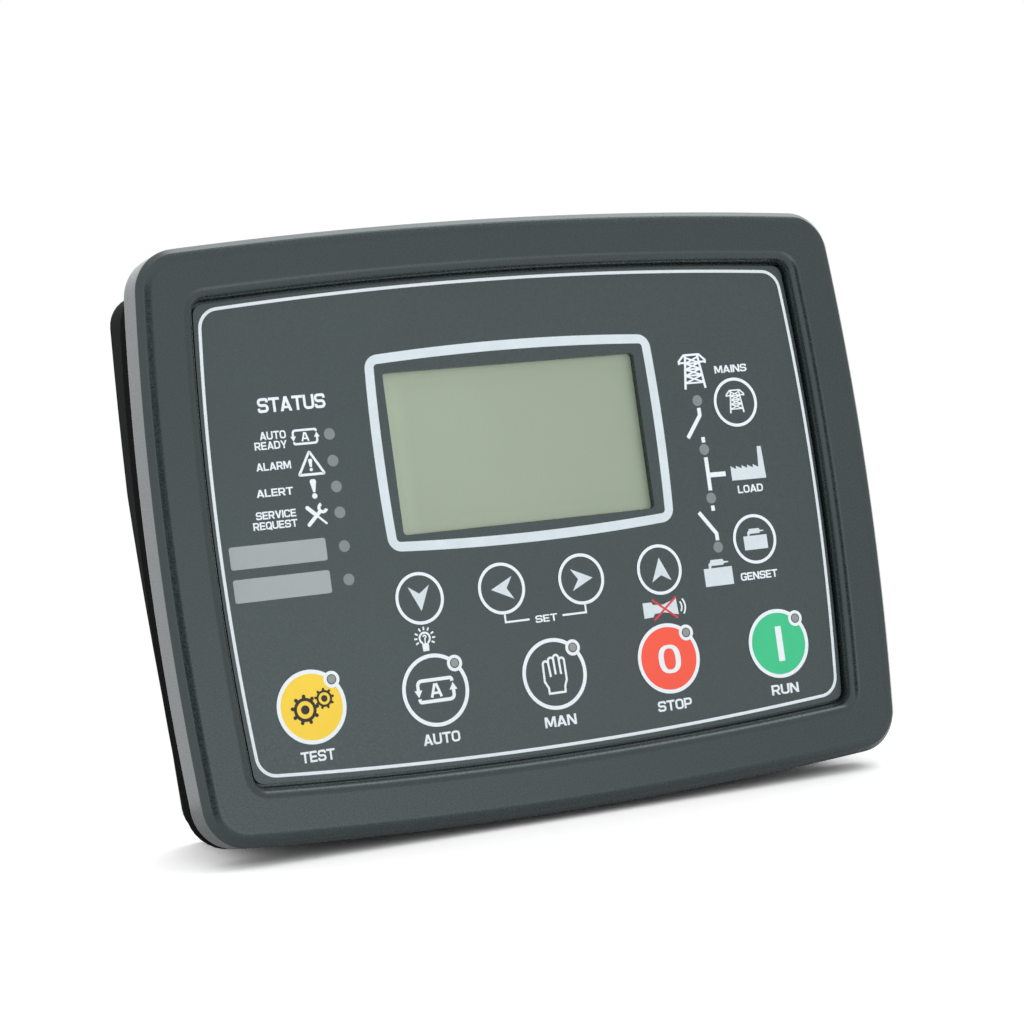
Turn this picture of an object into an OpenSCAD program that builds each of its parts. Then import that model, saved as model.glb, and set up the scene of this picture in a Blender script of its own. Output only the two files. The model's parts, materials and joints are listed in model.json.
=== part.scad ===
// Panel controller for a generating set.
// X runs to the right seen from the front, Z up, and the face looks along -Y.
// The origin is the centre of the seat where the seal meets the panel (Y = 0).

/* [Bezel] */
// Width of the bezel at its middle
bezel_w = 196.8; // [196:0.2:198]
// Height of the bezel at its middle
bezel_h = 148.2; // [147.6:0.2:149]
// Radius of the bowed top and bottom edges
bow_top_r = 1210; // [1100:10:1400]
// Radius of the bowed side edges
bow_side_r = 730; // [680:10:800]
// Radius of the bezel's corners
corner_r = 11; // [9:0.5:13]
// Depth of the bezel from its rim to the seal
bezel_d = 11; // [10.6:0.1:11.4]
// Depth of the recess from the rim to the film's surface
recess_d = 3.6; // [3.2:0.1:4]
// Thickness of the floor behind the film
floor_t = 2.0; // [1.8:0.1:2.2]

/* [Film] */
// Width of the keypad film at its middle
film_w = 167.8; // [167:0.2:168.4]
// Height of the keypad film at its middle
film_h = 119.6; // [119:0.2:120]
// Thickness of the keypad film
film_t = 0.5; // [0.4:0.05:0.6]
// Height of the embossed key fields
emboss_h = 0.15; // [0.1:0.05:0.3]
// Diameter of the big key fields
big_key_d = 17.8; // [16:0.2:18.4]
// Diameter of the small key fields
small_key_d = 12.8; // [11:0.2:13.4]
// Pitch of the big keys
big_key_pitch = 32.5; // [32:0.1:33]

/* [Display] */
// Width of the display window
window_w = 69.9; // [68:0.1:71]
// Height of the display window
window_h = 40; // [39:0.1:41]
// Height of the window's middle above the bezel's middle
window_z = 18; // [17.5:0.1:18.5]

/* [Seal] */
// Thickness of the panel seal
seal_t = 4; // [3.6:0.1:4.4]
// Radius of the seal's upper corners
seal_top_r = 18; // [14:0.5:19]

/* [Housing] */
// Width of the rear housing at its middle
housing_w = 177.8; // [177:0.1:178.4]
// Height of the rear housing at its middle
housing_h = 137.6; // [137:0.1:138]
// Radius of the housing's corners
housing_corner_r = 8; // [7:0.5:9]
// Depth of the upper part of the housing behind the panel seat
housing_d = 32.9; // [32.6:0.1:33.6]
// How much shallower the lower part is
housing_step = 7; // [6:0.5:7.4]
// Wall of the housing
wall = 2.2; // [2:0.1:2.4]

/* [Terminals] */
// Pitch of the wire terminals
term_pitch = 5.08; // [5:0.04:5.08]
// Ways in each terminal plug
term_ways = 12; // [10:1:12]

/* [Keys] */
// Travel of a key's plunger
key_travel = 0.25; // [0.2:0.05:0.3]
// Diameter of a key's plunger
plunger_d = 3.4; // [3:0.1:3.5]

/* [Hidden] */

// Depth stations along Y, front to back
y_back = -seal_t;                    // rear of the bezel
y_rim = y_back - bezel_d;            // front of the bezel's rim
y_film = y_rim + recess_d;           // surface of the film
y_seat = y_film + film_t;            // floor the film is glued to
y_floor = y_seat + floor_t;          // rear of that floor
y_board = -3.0;                      // front of the display board
board_t = 1.6;
y_board_b = y_board + board_t;
y_lcd = y_film + 1.6;                // front of the display's metal frame
y_io = 9.0;                          // front of the rear board
y_io_b = y_io + board_t;
y_rear = housing_d;                  // rear of the upper housing
y_rear_low = housing_d - housing_step;

bezel_z = 0.2;                       // the bezel's middle sits a little above the housing's
film_z = 0.6;                        // and the film a little above the bezel's

// Key places: x, z and big (1) or small (0)
key_z = -40.16;
nav_z = -17.62;
key_x0 = -65.05;
keys = [
  [key_x0, key_z, 1], [key_x0 + big_key_pitch, key_z, 1], [key_x0 + 2 * big_key_pitch, key_z, 1],
  [key_x0 + 3 * big_key_pitch, key_z, 1], [key_x0 + 4 * big_key_pitch, key_z, 1],
  [-33.5, nav_z, 0], [-11.3, nav_z, 0], [10.9, nav_z, 0], [33.3, nav_z, 0],
  [62.4, 23.0, 0], [62.3, -12.7, 0]];
status_led_z = [24.3, 17.8, 11.5, 5.2, -3.0, -11.1];
status_led_x = -51.2;
mimic_led_z = [24.3, 11.6, -1.0, -13.7];
mimic_led_x = 51.3;
key_led_off = 5.9;

pillar_xz = [[79, 55], [-79, 55], [79, -55], [-79, -55]];
board_screw_xz = [[44, 55], [-44, 55], [44, -55], [-44, -55]];
io_post_xz = [[74, 20], [-74, 20], [74, -22], [-74, -22]];

term_z = [46, -44];
term_x = 36;
term_w = term_ways * term_pitch;

// ---- outlines -------------------------------------------------------------

// Upper right crossing of two circles, the first below and the second to the left
function crossing(c1, r1, c2, r2) =
  let (dx = c2[0] - c1[0], dy = c2[1] - c1[1], d = sqrt(dx * dx + dy * dy),
       l = (r1 * r1 - r2 * r2 + d * d) / (2 * d), h = sqrt(r1 * r1 - l * l))
  [c1[0] + (l * dx + h * dy) / d, c1[1] + (l * dy - h * dx) / d];

// One quarter of a four-sided outline with bowed edges and round corners
function quarter(a, b, rt, rs, rc, ns = 6, nc = 8, nt = 8) =
  let (c1 = [0, b - rt], c2 = [a - rs, 0], c = crossing(c1, rt - rc, c2, rs - rc),
       t1 = atan2(c[1] - c1[1], c[0] - c1[0]), t2 = atan2(c[1] - c2[1], c[0] - c2[0]))
  concat(
    [for (i = [0 : ns - 1]) let (t = t2 * i / ns) [c2[0] + rs * cos(t), c2[1] + rs * sin(t)]],
    [for (i = [0 : nc]) let (t = t2 + (t1 - t2) * i / nc) [c[0] + rc * cos(t), c[1] + rc * sin(t)]],
    [for (i = [1 : nt - 1]) let (t = t1 + (90 - t1) * i / nt) [c1[0] + rt * cos(t), c1[1] + rt * sin(t)]]);

// The whole outline, with half width a and half height b at the middles
function bowed(a, b, rt, rs, rc) =
  let (q = quarter(a, b, rt, rs, rc), n = len(q))
  concat(
    q, [[0, b]],
    [for (i = [n - 1 : -1 : 0]) [-q[i][0], q[i][1]]],
    [for (i = [1 : n - 1]) [-q[i][0], -q[i][1]]], [[0, -b]],
    [for (i = [n - 1 : -1 : 1]) [q[i][0], -q[i][1]]]);

// The bezel's outline and those parallel to it, d inside
function bezel_line(d) = bowed(bezel_w / 2 - d, bezel_h / 2 - d, bow_top_r - d, bow_side_r - d, max(1, corner_r - d));
// The recess and the film, d outside the film's edge
function film_line(d) = bowed(film_w / 2 + d, film_h / 2 + d, bow_top_r - 15 + d, bow_side_r - 15 + d, 2.6 + d);
// The housing, d inside its outer wall
function housing_line(d) = bowed(housing_w / 2 - d, housing_h / 2 - d, 4000 - d, 1440 - d, housing_corner_r - d);
// The seal, with fuller corners above than below
function seal_line() =
  let (up = bowed(bezel_w / 2, bezel_h / 2 - 0.6, bow_top_r, bow_side_r, seal_top_r),
       low = bowed(bezel_w / 2, bezel_h / 2 - 0.6, bow_top_r, bow_side_r, corner_r))
  concat([for (p = up) if (p[1] >= 0) p], [for (p = low) if (p[1] < 0) p]);

// ---- shapes that repeat -----------------------------------------------------

// A plate of the given outline from y0 to y1
module slab(pts, y0, y1, z0 = 0)
  translate([0, y1, z0]) rotate([90, 0, 0]) linear_extrude(height = y1 - y0) polygon(pts);

// A solid through rings of equal point count, each given as [outline, y], front ring first
module loft(rings, z0 = 0) {
  n = len(rings[0][0]);
  m = len(rings);
  polyhedron(
    points = [for (r = rings, p = r[0]) [p[0], r[1], p[1] + z0]],
    faces = concat(
      [[for (i = [0 : n - 1]) n - 1 - i]],
      [for (j = [0 : m - 2], i = [0 : n - 1]) let (k = (i + 1) % n) [j * n + i, j * n + k, (j + 1) * n + k, (j + 1) * n + i]],
      [[for (i = [0 : n - 1]) (m - 1) * n + i]]));
}

// A round bar along Y
module bar(x, z, d, y0, y1)
  translate([x, y1, z]) rotate([90, 0, 0]) cylinder(d = d, h = y1 - y0, $fn = 48);

// A block centred on x and z
module block(x, z, w, h, y0, y1)
  translate([x - w / 2, y0, z - h / 2]) cube([w, y1 - y0, h]);

// A plate with round corners, centred on x and z
module round_plate(x, z, w, h, r, y0, y1)
  translate([x, y1, z]) rotate([90, 0, 0]) linear_extrude(height = y1 - y0) union() {
    square([w - 2 * r, h], center = true);
    square([w, h - 2 * r], center = true);
    for (i = [-1, 1], j = [-1, 1]) translate([i * (w / 2 - r), j * (h / 2 - r)]) circle(r = r, $fn = 32);
  }

// The housing's side profile, with its rear wall moved forward by d
module side_profile(d)
  translate([-110, 0, 0]) rotate([90, 0, 90]) linear_extrude(height = 220)
    polygon([[-20, -90], [y_rear_low - d, -90], [y_rear_low - d, -42], [y_rear - d, 18], [y_rear - d, 90], [-20, 90]]);

// A cross-slotted screw with its head towards +Y
module screw(x, z, shank, head, head_h, y0, y1)
  difference() {
    union() {
      bar(x, z, shank, y0, y1);
      bar(x, z, head, y1, y1 + head_h);
    }
    block(x, z, head * 0.62, 0.7, y1 + head_h - 1.1, y1 + head_h + 1);
    block(x, z, 0.7, head * 0.62, y1 + head_h - 1.1, y1 + head_h + 1);
  }

// The same screw with its head towards -Y
module screw_front(x, z, shank, head, head_h, y0, y1)
  difference() {
    union() {
      bar(x, z, shank, y0, y1);
      bar(x, z, head, y0 - head_h, y0);
    }
    block(x, z, head * 0.62, 0.7, y0 - head_h - 1, y0 - head_h + 1.1);
    block(x, z, 0.7, head * 0.62, y0 - head_h - 1, y0 - head_h + 1.1);
  }

// A lamp with a domed end towards the film
module lamp(x, z) {
  bar(x, z, 3.8, -6.2, -5.4);
  bar(x, z, 3.0, -9.2, -6.0);
  translate([x, -9.2, z]) sphere(d = 3.0, $fn = 32);
}

// A key's plunger, with a chamfered front end
module plunger(k)
  translate([keys[k][0], -5.2, keys[k][1]]) rotate([90, 0, 0]) rotate_extrude($fn = 48)
    polygon([[0, 0], [plunger_d / 2, 0], [plunger_d / 2, 5.0], [plunger_d / 2 - 0.35, 5.4], [0, 5.4]]);

// A terminal header, open to the rear
module header(x, z)
  difference() {
    block(x, z, term_w + 3, 11.6, y_io_b, 22.6);
    block(x, z, term_w + 0.8, 9, 13.4, 23);
    for (i = [0 : term_ways - 1]) block(x + (i - (term_ways - 1) / 2) * term_pitch, z + 5.2, 1.8, 1.6, 15, 23);
  }

// A terminal plug with a wire entry and a screw well for each way
module plug(x, z)
  difference() {
    union() {
      block(x, z, term_w, 8.2, 14, 23);
      block(x, z, term_w + 2, 14, 22.8, 31.2);
      block(x, z - 2.6, term_w + 2, 8.8, 31, 32.4);
    }
    for (i = [0 : term_ways - 1]) let (px = x + (i - (term_ways - 1) / 2) * term_pitch) {
      block(px, z - 2.8, 3.4, 3.8, 24.4, 33);
      bar(px, z + 4.0, 3.6, 25.4, 33);
    }
  }

module terminal_screw(x, z)
  difference() {
    bar(x, z + 4.0, 3.2, 25.6, 29.6);
    block(x, z + 4.0, 3.6, 0.7, 28.7, 30);
  }

// A sealed relay on the rear board
module relay(x)
  union() {
    block(x, 20, 19, 15.4, y_io_b + 0.6, y_io_b + 14.6);
    block(x, 20, 19.4, 15.8, y_io_b, y_io_b + 0.8);
  }

// A small current transformer on the rear board
module transformer(x)
  union() {
    block(x, -14, 17, 12, y_io_b, y_io_b + 6);
    translate([x, y_io_b + 6.8, -20]) cylinder(d = 13, h = 12, $fn = 48);
  }

// ---- pieces -------------------------------------------------------------------

module front_bezel() color([0.30, 0.33, 0.33]) difference() {
  union() {
    difference() {
      // rim with a bevelled outer edge and a shallow shoulder
      loft([for (p = [[3.7, y_rim], [2.9, y_rim + 0.06], [1.7, y_rim + 0.32], [1.35, y_rim + 0.51], [0.1, y_rim + 2.11], [0, y_rim + 2.38], [0, y_back]])
        [bezel_line(p[0]), p[1]]], bezel_z);
      // recess, its lip rounded over and its wall steep beside the film
      loft([for (p = [[3.45, y_rim - 0.1], [2.52, y_rim + 0.13], [1.7, y_rim + 0.57], [1.13, y_rim + 1.18], [0.8, y_rim + 1.85], [0.42, y_film - 0.4], [0.42, y_seat]]) [film_line(p[0]), p[1]]], film_z);
      // room for the boards and the housing's front edge
      slab(housing_line(-0.4), y_floor, y_back + 1);
      // cored sides of the rim, open to the rear
      intersection() {
        difference() {
          slab(bezel_line(3.0), y_rim + 3.2, y_back + 1);
          slab(bowed(bezel_w / 2 - 6.6, bezel_h / 2 - 4.7, bow_top_r - 6, bow_side_r - 6, corner_r + 0.4), y_rim + 3, y_back + 2);
        }
        block(0, 0, bezel_w + 20, 100, y_rim + 2, y_back + 3);
      }
    }
    for (p = pillar_xz) bar(p[0], p[1], 9, y_floor - 0.5, y_board);
    for (p = board_screw_xz) bar(p[0], p[1], 6.5, y_floor - 0.5, y_board);
  }
  // display window and the seat of the display's frame
  round_plate(-0.35, window_z, window_w, window_h, 1, y_seat - 1, y_floor + 1);
  block(-0.35, window_z, 79.2, 54.8, y_lcd, y_floor + 1);
  // pocket for the legend card
  block(-68.5, -7.2, 27.4, 17, y_seat - 1, y_seat + 0.4);
  // flex holes behind the keys, lamp holes and screw holes
  for (k = keys) bar(k[0], k[1], 9, y_seat - 1, y_floor + 1);
  for (z = status_led_z) bar(status_led_x, z, 3.4, y_seat - 1, y_floor + 1);
  for (z = mimic_led_z) bar(mimic_led_x, z, 3.4, y_seat - 1, y_floor + 1);
  for (i = [0 : 4]) bar(keys[i][0] + key_led_off, keys[i][1] + key_led_off, 3.4, y_seat - 1, y_floor + 1);
  for (p = pillar_xz) bar(p[0], p[1], 2.9, y_floor + 0.2, y_board + 1);
  for (p = board_screw_xz) bar(p[0], p[1], 2.5, y_floor + 0.2, y_board + 1);
}

module graphic_overlay() color([0.32, 0.345, 0.355]) difference() {
  union() {
    slab(film_line(0), y_film, y_seat, film_z);
    for (k = keys) bar(k[0], k[1], k[2] == 1 ? big_key_d : small_key_d, y_film - emboss_h, y_film + 0.1);
  }
  round_plate(-0.35, window_z, window_w, window_h, 1, y_film - 1, y_seat + 1);
}

module panel_gasket() color([0.07, 0.07, 0.075]) difference() {
  slab(seal_line(), y_back, 0, bezel_z - 0.6);
  slab(housing_line(-0.4), y_back - 1, 1);
}

module rear_housing() color([0.09, 0.09, 0.095]) difference() {
  intersection() {
    slab(housing_line(0), y_back - 2, y_rear);
    side_profile(0);
  }
  // hollow, with the pillars and board posts left standing
  difference() {
    intersection() {
      slab(housing_line(wall), y_back - 3, y_rear - wall);
      side_profile(wall);
    }
    for (p = pillar_xz) bar(p[0], p[1], 9, y_board_b, y_rear + 1);
    for (p = io_post_xz) bar(p[0], p[1], 7, y_io_b, y_rear + 1);
  }
  // screw passages and their wells
  for (p = pillar_xz) {
    bar(p[0], p[1], 3.4, y_board_b - 1, y_rear + 5);
    bar(p[0], p[1], 6.4, 3, y_rear + 5);
  }
  for (p = io_post_xz) bar(p[0], p[1], 2.5, y_io_b - 1, 18);
  // openings for the terminal plugs
  for (i = [-1, 1], z = term_z) block(i * term_x, z, term_w + 3.6, 15.2, 20, y_rear + 5);
  // cooling slots through the top and bottom walls
  for (i = [-6 : 6], j = [-1, 1]) block(i * 9, j * 66, 2.4, 12, 7, 21);
  // slots for the panel clamps
  for (i = [-1, 1], z = [-32, 32]) block(i * 87, z, 10, 3.2, 8, 20);
}

module legend_card() color([0.66, 0.67, 0.68])
  block(-68.5, -7.2, 27, 16.6, y_seat + 0.05, y_seat + 0.35);

module lcd_frame() color([0.45, 0.46, 0.47]) difference() {
  block(-0.35, window_z, 78.6, 54.2, y_lcd, y_board);
  block(-0.35, window_z, 77.8, 53.4, y_lcd + 0.4, y_board + 1);
  block(-0.35, window_z, 71, 41.2, y_lcd - 1, y_board);
}

module lcd_glass() color([0.63, 0.67, 0.60])
  block(-0.35, window_z, 75, 49, y_lcd + 0.4, y_lcd + 2.6);

module lcd_backlight() color([0.90, 0.92, 0.86])
  block(-0.35, window_z, 77.4, 53, y_lcd + 2.6, y_board - 1.2);

module lcd_board() color([0.05, 0.30, 0.16])
  block(-0.35, window_z, 77.4, 53, y_board - 1.2, y_board);

module display_board() color([0.05, 0.33, 0.18]) difference() {
  round_plate(0, 0, 163, 117, 4, y_board, y_board_b);
  for (p = pillar_xz) bar(p[0], p[1], 3.4, y_board - 1, y_board_b + 1);
  for (p = board_screw_xz) bar(p[0], p[1], 2.8, y_board - 1, y_board_b + 1);
}

module tact_switch_bodies() color([0.13, 0.13, 0.14])
  for (k = keys) difference() {
    block(k[0], k[1], 6, 6, -6.5, y_board);
    bar(k[0], k[1], 4.0, -7, -4.6);
  }

module test_key_plunger() color([0.16, 0.16, 0.17]) plunger(0);
module auto_key_plunger() color([0.16, 0.16, 0.17]) plunger(1);
module manual_key_plunger() color([0.16, 0.16, 0.17]) plunger(2);
module stop_key_plunger() color([0.16, 0.16, 0.17]) plunger(3);
module run_key_plunger() color([0.16, 0.16, 0.17]) plunger(4);
module down_key_plunger() color([0.16, 0.16, 0.17]) plunger(5);
module left_key_plunger() color([0.16, 0.16, 0.17]) plunger(6);
module right_key_plunger() color([0.16, 0.16, 0.17]) plunger(7);
module up_key_plunger() color([0.16, 0.16, 0.17]) plunger(8);
module mains_key_plunger() color([0.16, 0.16, 0.17]) plunger(9);
module genset_key_plunger() color([0.16, 0.16, 0.17]) plunger(10);

module status_leds() color([0.78, 0.79, 0.80])
  for (z = status_led_z) lamp(status_led_x, z);

module mimic_leds() color([0.78, 0.79, 0.80])
  for (z = mimic_led_z) lamp(mimic_led_x, z);

module key_leds() color([0.78, 0.79, 0.80])
  for (i = [0 : 4]) lamp(keys[i][0] + key_led_off, keys[i][1] + key_led_off);

module led_spacers() color([0.10, 0.10, 0.10]) {
  for (z = status_led_z) led_spacer(status_led_x, z);
  for (z = mimic_led_z) led_spacer(mimic_led_x, z);
  for (i = [0 : 4]) led_spacer(keys[i][0] + key_led_off, keys[i][1] + key_led_off);
}
module led_spacer(x, z) difference() {
  bar(x, z, 4.4, -5.4, y_board);
  bar(x, z, 2.2, -6, y_board + 1);
}

module processor_chip() color([0.10, 0.10, 0.11])
  round_plate(20, 2, 14, 14, 0.6, y_board_b, y_board_b + 1.4);

module coin_cell_holder() color([0.12, 0.12, 0.13]) difference() {
  bar(-40, 8, 24, y_board_b, y_board_b + 5);
  bar(-40, 8, 20.5, y_board_b + 1.4, y_board_b + 6);
}

module coin_cell() color([0.75, 0.76, 0.77]) union() {
  bar(-40, 8, 20, y_board_b + 1.9, y_board_b + 4.6);
  bar(-40, 8, 17.4, y_board_b + 1.4, y_board_b + 2);
}

module board_link_pins() color([0.80, 0.68, 0.30]) union() {
  block(0, -30, 26, 5, y_board_b, 1.1);
  for (i = [0 : 9], j = [-1, 1]) block((i - 4.5) * 2.54, -30 + j * 1.27, 0.64, 0.64, 1, 6.6);
}

module board_link_socket() color([0.12, 0.12, 0.13]) difference() {
  block(0, -30, 26.4, 5.4, 1.2, y_io);
  for (j = [-1, 1]) block(0, -30 + j * 1.27, 24.6, 1.0, 0, 7.4);
}

module io_board() color([0.05, 0.33, 0.18]) difference() {
  round_plate(0, 0, 160, 114, 3, y_io, y_io_b);
  for (p = pillar_xz) bar(p[0], p[1], 10.6, y_io - 1, y_io_b + 1);
  for (p = io_post_xz) bar(p[0], p[1], 2.9, y_io - 1, y_io_b + 1);
}

module header_upper_left() color([0.10, 0.32, 0.20]) header(-term_x, term_z[0]);
module header_upper_right() color([0.10, 0.32, 0.20]) header(term_x, term_z[0]);
module header_lower_left() color([0.10, 0.32, 0.20]) header(-term_x, term_z[1]);
module header_lower_right() color([0.10, 0.32, 0.20]) header(term_x, term_z[1]);

module plug_upper_left() color([0.12, 0.40, 0.24]) plug(-term_x, term_z[0]);
module plug_upper_right() color([0.12, 0.40, 0.24]) plug(term_x, term_z[0]);
module plug_lower_left() color([0.12, 0.40, 0.24]) plug(-term_x, term_z[1]);
module plug_lower_right() color([0.12, 0.40, 0.24]) plug(term_x, term_z[1]);

module terminal_screws() color([0.72, 0.72, 0.70])
  for (s = [-1, 1], z = term_z, i = [0 : term_ways - 1])
    terminal_screw(s * term_x + (i - (term_ways - 1) / 2) * term_pitch, z);

module fuel_relay() color([0.15, 0.17, 0.24]) relay(-52);
module crank_relay() color([0.15, 0.17, 0.24]) relay(-30);
module mains_relay() color([0.15, 0.17, 0.24]) relay(-8);
module genset_relay() color([0.15, 0.17, 0.24]) relay(14);

module current_transformer_1() color([0.20, 0.25, 0.45]) transformer(-52);
module current_transformer_2() color([0.20, 0.25, 0.45]) transformer(-30);
module current_transformer_3() color([0.20, 0.25, 0.45]) transformer(-8);

module supply_capacitors() color([0.12, 0.14, 0.20])
  for (x = [24, 38]) bar(x, -13, 10, y_io_b, y_io_b + 12);

module power_inductor() color([0.25, 0.25, 0.26]) union() {
  round_plate(50, 20, 12, 12, 2, y_io_b, y_io_b + 1.6);
  bar(50, 20, 9, y_io_b + 1.4, y_io_b + 6);
  round_plate(50, 20, 12, 12, 2, y_io_b + 5.8, y_io_b + 7.6);
}

module housing_screws() color([0.62, 0.63, 0.64])
  for (p = pillar_xz) screw(p[0], p[1], 2.8, 5.8, 2.4, y_floor + 0.5, 3);

module display_board_screws() color([0.62, 0.63, 0.64])
  for (p = board_screw_xz) screw(p[0], p[1], 2.4, 4.8, 1.8, y_floor + 0.9, y_board_b);

module io_board_screws() color([0.62, 0.63, 0.64])
  for (p = io_post_xz) screw_front(p[0], p[1], 2.4, 4.8, 1.8, y_io, 17);

front_bezel();
graphic_overlay();
panel_gasket();
rear_housing();
legend_card();
lcd_frame();
lcd_glass();
lcd_backlight();
lcd_board();
display_board();
tact_switch_bodies();
test_key_plunger();
auto_key_plunger();
manual_key_plunger();
stop_key_plunger();
run_key_plunger();
down_key_plunger();
left_key_plunger();
right_key_plunger();
up_key_plunger();
mains_key_plunger();
genset_key_plunger();
status_leds();
mimic_leds();
key_leds();
led_spacers();
processor_chip();
coin_cell_holder();
coin_cell();
board_link_pins();
board_link_socket();
io_board();
header_upper_left();
header_upper_right();
header_lower_left();
header_lower_right();
plug_upper_left();
plug_upper_right();
plug_lower_left();
plug_lower_right();
terminal_screws();
fuel_relay();
crank_relay();
mains_relay();
genset_relay();
current_transformer_1();
current_transformer_2();
current_transformer_3();
supply_capacitors();
power_inductor();
housing_screws();
display_board_screws();
io_board_screws();
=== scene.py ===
"""Looks of a panel-mounted genset controller: moulded bezel, membrane front with its print, seal, housing and terminals."""

import json
import math

import bmesh
import bpy
from mathutils import Matrix, Vector
from mathutils.geometry import tessellate_polygon


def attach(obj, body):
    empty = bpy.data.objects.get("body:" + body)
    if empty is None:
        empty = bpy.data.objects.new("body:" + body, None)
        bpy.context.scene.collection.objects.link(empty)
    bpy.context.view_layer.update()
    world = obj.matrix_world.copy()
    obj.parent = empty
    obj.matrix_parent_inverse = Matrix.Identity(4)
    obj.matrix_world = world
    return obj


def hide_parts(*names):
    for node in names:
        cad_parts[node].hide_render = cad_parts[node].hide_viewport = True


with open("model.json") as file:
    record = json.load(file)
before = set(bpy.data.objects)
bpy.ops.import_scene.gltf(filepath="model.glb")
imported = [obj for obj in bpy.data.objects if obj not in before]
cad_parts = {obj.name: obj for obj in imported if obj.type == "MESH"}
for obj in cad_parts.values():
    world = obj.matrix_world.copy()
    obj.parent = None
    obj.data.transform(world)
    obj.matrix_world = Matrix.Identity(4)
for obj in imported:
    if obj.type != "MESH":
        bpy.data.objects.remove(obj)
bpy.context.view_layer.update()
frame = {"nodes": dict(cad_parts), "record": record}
NODES = frame["nodes"]
SLOT_OF = {}
for sub in frame["record"].get("subparts", []):
    SLOT_OF[sub.get("node") or sub.get("name")] = sub.get("material_slot")

# Planes across the depth, in millimetres: the face looks along -Y and the panel seat is Y = 0.
Y_BACK, Y_RIM, Y_FILM, Y_SEAT, Y_FLOOR = -4.0, -15.0, -11.4, -10.9, -8.9
FILM_Z = 0.6
BEZEL_Z = 0.2
EMBOSS = 0.15
# The print was laid out about the middle of the film's own grid.
PRINT_DX, PRINT_DZ = -0.2, -2.0

KEYS = {
    "test": (-65.05, -40.16, 8.9),
    "auto": (-32.55, -40.16, 8.9),
    "manual": (-0.05, -40.16, 8.9),
    "stop": (32.45, -40.16, 8.9),
    "run": (64.95, -40.16, 8.9),
    "down": (-33.5, -17.62, 6.4),
    "left": (-11.3, -17.62, 6.4),
    "right": (10.9, -17.62, 6.4),
    "up": (33.3, -17.62, 6.4),
    "mains": (62.4, 23.0, 6.4),
    "genset": (62.3, -12.7, 6.4),
}
KEY_LAMP = (5.9, 5.9)
STATUS_LAMPS = [(-51.2, z) for z in (24.3, 17.8, 11.5, 5.2, -3.0, -11.1)]
MIMIC_LAMPS = [(51.3, z) for z in (24.3, 11.6, -1.0, -13.7)]
KEY_LAMPS = [
    (KEYS[k][0] + KEY_LAMP[0], KEYS[k][1] + KEY_LAMP[1])
    for k in ("test", "auto", "manual", "stop", "run")
]


# ---------------------------------------------------------------- outlines
def arc(cx, cy, r, a0, a1, n):
    """n steps of an arc, both ends included, angles in degrees."""
    return [
        (
            cx + r * math.cos(math.radians(a0 + (a1 - a0) * i / n)),
            cy + r * math.sin(math.radians(a0 + (a1 - a0) * i / n)),
        )
        for i in range(n + 1)
    ]


def bowed(a, b, rt, rs, rc, ns=18, nc=22, nt=22):
    """A rectangle of half sizes a by b whose four sides are shallow arcs, with round corners."""
    c1 = (0.0, b - rt)
    c2 = (a - rs, 0.0)
    r1, r2 = rt - rc, rs - rc
    dx, dy = c2[0] - c1[0], c2[1] - c1[1]
    d = math.hypot(dx, dy)
    l = (r1 * r1 - r2 * r2 + d * d) / (2 * d)
    h = math.sqrt(max(0.0, r1 * r1 - l * l))
    best = None
    for s in (1, -1):
        c = (c1[0] + (l * dx + s * h * dy) / d, c1[1] + (l * dy - s * h * dx) / d)
        if c[0] > 0 and c[1] > 0:
            best = c
    t1 = math.degrees(math.atan2(best[1] - c1[1], best[0] - c1[0]))
    t2 = math.degrees(math.atan2(best[1] - c2[1], best[0] - c2[0]))
    q = arc(c2[0], c2[1], rs, 0, t2, ns)[:-1]
    q += arc(best[0], best[1], rc, t2, t1, nc)[:-1]
    q += arc(c1[0], c1[1], rt, t1, 90, nt)
    out = list(q)
    out += [(-x, y) for x, y in reversed(q[:-1])]
    out += [(-x, -y) for x, y in q[1:]]
    out += [(x, -y) for x, y in reversed(q[1:-1])]
    return out


def shift(pts, dx=0.0, dz=0.0):
    return [(x + dx, z + dz) for x, z in pts]


def bezel_line(d):
    return shift(bowed(98.4 - d, 74.1 - d, 1210 - d, 730 - d, max(1.0, 11 - d)), 0, BEZEL_Z)


def film_line(d):
    return shift(
        bowed(83.9 + d, 59.8 + d, 1195 + d, 715 + d, max(0.6, 2.6 + d)), 0, FILM_Z
    )


def housing_line(d):
    return bowed(88.9 - d, 68.8 - d, 4000 - d, 1440 - d, 8 - d)


def smooth_through(pts, k=4):
    """A curve through the given points, k steps between each pair."""
    out = []
    n = len(pts)
    for i in range(n - 1):
        p0, p1, p2, p3 = pts[max(0, i - 1)], pts[i], pts[i + 1], pts[min(n - 1, i + 2)]
        for j in range(k):
            t = j / k
            out.append(
                tuple(
                    0.5
                    * (
                        2 * b
                        + (c - a) * t
                        + (2 * a - 5 * b + 4 * c - d) * t * t
                        + (3 * b - a - 3 * c + d) * t * t * t
                    )
                    for a, b, c, d in zip(p0, p1, p2, p3)
                )
            )
    out.append(tuple(pts[-1]))
    return out


def round_rect(cx, cy, w, h, r, n=6):
    a, b = w / 2 - r, h / 2 - r
    return (
        arc(cx + a, cy + b, r, 0, 90, n)
        + arc(cx - a, cy + b, r, 90, 180, n)
        + arc(cx - a, cy - b, r, 180, 270, n)
        + arc(cx + a, cy - b, r, 270, 360, n)
    )


def circle(cx, cy, r, n=48):
    return arc(cx, cy, r, 0, 360, n)[:-1]


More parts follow.
